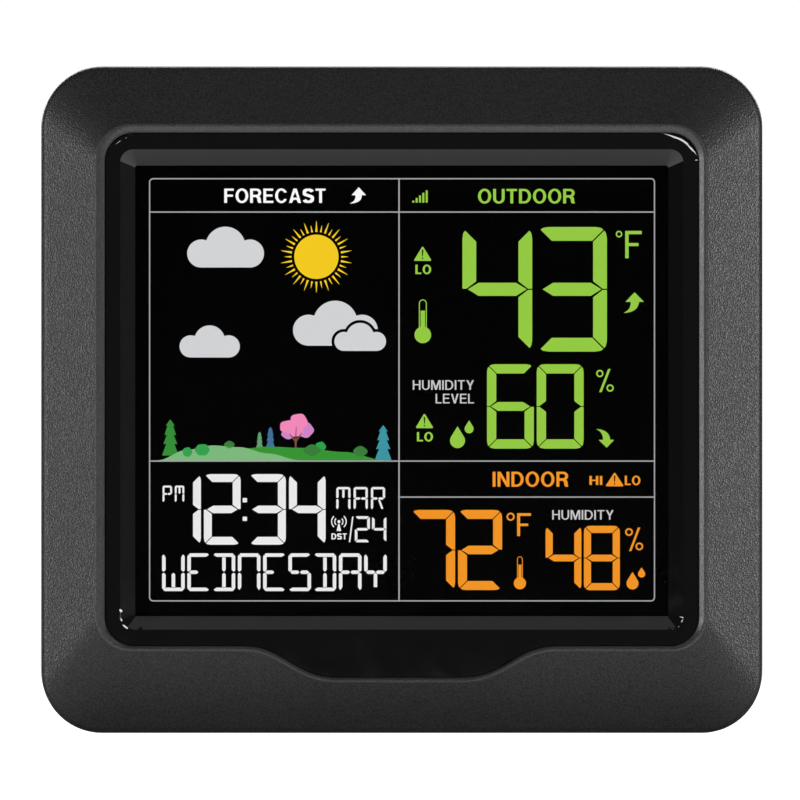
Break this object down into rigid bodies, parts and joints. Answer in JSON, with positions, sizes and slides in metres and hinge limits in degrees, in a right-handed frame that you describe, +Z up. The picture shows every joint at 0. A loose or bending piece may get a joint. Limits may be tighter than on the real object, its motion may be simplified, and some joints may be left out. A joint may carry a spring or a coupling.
{
  "type": "home weather station",
  "caption": "Colour-display home weather station in a rounded charcoal frame with glossy trim, fold-out stand, hanging slots, battery cover and push keys behind.",
  "frame": {"origin": "centre of the footprint on the plane the station stands on", "axes": "the display faces -Y, +X is to the right as a viewer in front of it sees it, +Z is up"},
  "size_m": [0.178, 0.028, 0.1644],
  "materials": {
    "matte_charcoal": "fine moulded texture, charcoal with a faint sparkle",
    "matte_black": "fine moulded texture, black",
    "gloss_black": "polished piano black",
    "black_plastic": "satin",
    "clear_acrylic": "clear and polished",
    "foam_black": "closed-cell foam",
    "rubber_black": "matt rubber",
    "polarizer_film": "dark film",
    "lcd_glass": "thin polished glass",
    "colour_film": "printed colour film",
    "white_film": "white optical film",
    "white_plastic": "white moulded plastic",
    "led_white": "white strip with light sources",
    "flex_amber": "polyimide film",
    "circuit_board": "green solder mask",
    "black_epoxy": "cast epoxy",
    "ferrite": "sintered ferrite",
    "copper_wire": "enamelled copper",
    "cell_jacket": "printed jacket without lettering",
    "nickel_plate": "nickel plated spring steel",
    "wire_red": "PVC insulation",
    "wire_black": "PVC insulation",
    "steel": "bright",
    "black_steel": "black oxide"
  },
  "bodies": {
    "station": {"front_bezel": "matte_charcoal", "gloss_trim": "gloss_black", "display_lens": "clear_acrylic", "lens_gasket": "foam_black", "front_polarizer": "polarizer_film", "lcd_front_glass": "lcd_glass", "lcd_rear_glass": "lcd_glass", "rear_polarizer": "polarizer_film", "colour_filter_film": "colour_film", "diffuser_sheet": "white_film", "light_guide": "clear_acrylic", "reflector_sheet": "white_film", "led_strip": "led_white", "lcd_holder": "white_plastic", "lcd_flex": "flex_amber", "main_pcb": "circuit_board", "mcu_blob": "black_epoxy", "clock_crystal": "steel", "capacitor": "black_epoxy", "receiver_module": "circuit_board", "receiver_antenna": "wire_black", "ferrite_rod": "ferrite", "ferrite_coil": "copper_wire", "piezo_buzzer": "black_plastic", "sensor_board": "circuit_board", "dc_jack": "black_plastic", "battery_1": "cell_jacket", "battery_2": "cell_jacket", "battery_3": "cell_jacket", "contact_positive": "nickel_plate", "contact_bridge_left": "nickel_plate", "contact_bridge_right": "nickel_plate", "contact_negative": "nickel_plate", "battery_lead_red": "wire_red", "battery_lead_black": "wire_black", "rear_case": "matte_black", "foot_pad_left": "rubber_black", "foot_pad_right": "rubber_black", "pcb_screw_left": "steel", "pcb_screw_right": "steel", "case_screw_upper_left": "black_steel", "case_screw_upper_right": "black_steel", "case_screw_lower_left": "black_steel", "case_screw_lower_right": "black_steel", "switch_light": "steel", "switch_plus": "steel", "switch_minus": "steel", "switch_time": "steel", "switch_alert": "steel", "switch_search": "steel"},
    "kickstand": {"kickstand": "matte_black", "kickstand_pad": "rubber_black"},
    "battery_door": {"battery_door": "matte_black"},
    "key_light": {"key_light": "black_plastic"},
    "key_plus": {"key_plus": "black_plastic"},
    "key_minus": {"key_minus": "black_plastic"},
    "key_time": {"key_time": "black_plastic"},
    "key_alert": {"key_alert": "black_plastic"},
    "key_search": {"key_search": "black_plastic"}
  },
  "joints": [
    {"name": "kickstand_hinge", "type": "hinge", "parent": "station", "child": "kickstand", "pos_m": [0, 0.0109, 0.0775], "axis": [1, 0, 0], "range_deg": [0, 30]},
    {"name": "battery_door_hinge", "type": "hinge", "parent": "station", "child": "battery_door", "pos_m": [0, 0.0122, 0.1336], "axis": [1, 0, 0], "range_deg": [0, 40]},
    {"name": "key_light_press", "type": "slide", "parent": "station", "child": "key_light", "axis": [0, -1, 0], "range_m": [0, 0.0006], "stiffness_N_per_m": 900, "springref_m": -0.0004},
    {"name": "key_plus_press", "type": "slide", "parent": "station", "child": "key_plus", "axis": [0, -1, 0], "range_m": [0, 0.0006], "stiffness_N_per_m": 900, "springref_m": -0.0004},
    {"name": "key_minus_press", "type": "slide", "parent": "station", "child": "key_minus", "axis": [0, -1, 0], "range_m": [0, 0.0006], "stiffness_N_per_m": 900, "springref_m": -0.0004},
    {"name": "key_time_press", "type": "slide", "parent": "station", "child": "key_time", "axis": [0, -1, 0], "range_m": [0, 0.0006], "stiffness_N_per_m": 900, "springref_m": -0.0004},
    {"name": "key_alert_press", "type": "slide", "parent": "station", "child": "key_alert", "axis": [0, -1, 0], "range_m": [0, 0.0006], "stiffness_N_per_m": 900, "springref_m": -0.0004},
    {"name": "key_search_press", "type": "slide", "parent": "station", "child": "key_search", "axis": [0, -1, 0], "range_m": [0, 0.0006], "stiffness_N_per_m": 900, "springref_m": -0.0004}
  ]
}
